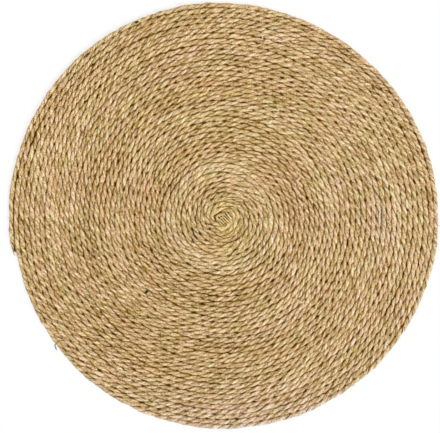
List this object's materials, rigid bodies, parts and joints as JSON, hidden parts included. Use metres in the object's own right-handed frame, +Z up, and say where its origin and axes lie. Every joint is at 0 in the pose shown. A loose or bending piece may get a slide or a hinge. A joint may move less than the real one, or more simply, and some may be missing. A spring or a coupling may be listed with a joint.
{
  "type": "round coiled seagrass table mat",
  "caption": "Flat round table mat of twisted grass cord, wound in a spiral and sewn turn to turn, to lie under a plate, dish or glass.",
  "frame": {"origin": "middle of the mat's box, on the underside that lies on the table", "axes": "+Z up out of the top face; the cord's cut outer end is at 190 degrees, anticlockwise from +X seen from above"},
  "size_m": [0.3826, 0.3804, 0.005],
  "materials": {
    "grass_cord": "dry twisted grass blades, matt with a faint sheen, straw to pale tan with olive and pinkish blades"
  },
  "bodies": {
    "root": {"coiled_mat": "grass_cord"}
  },
  "joints": []
}
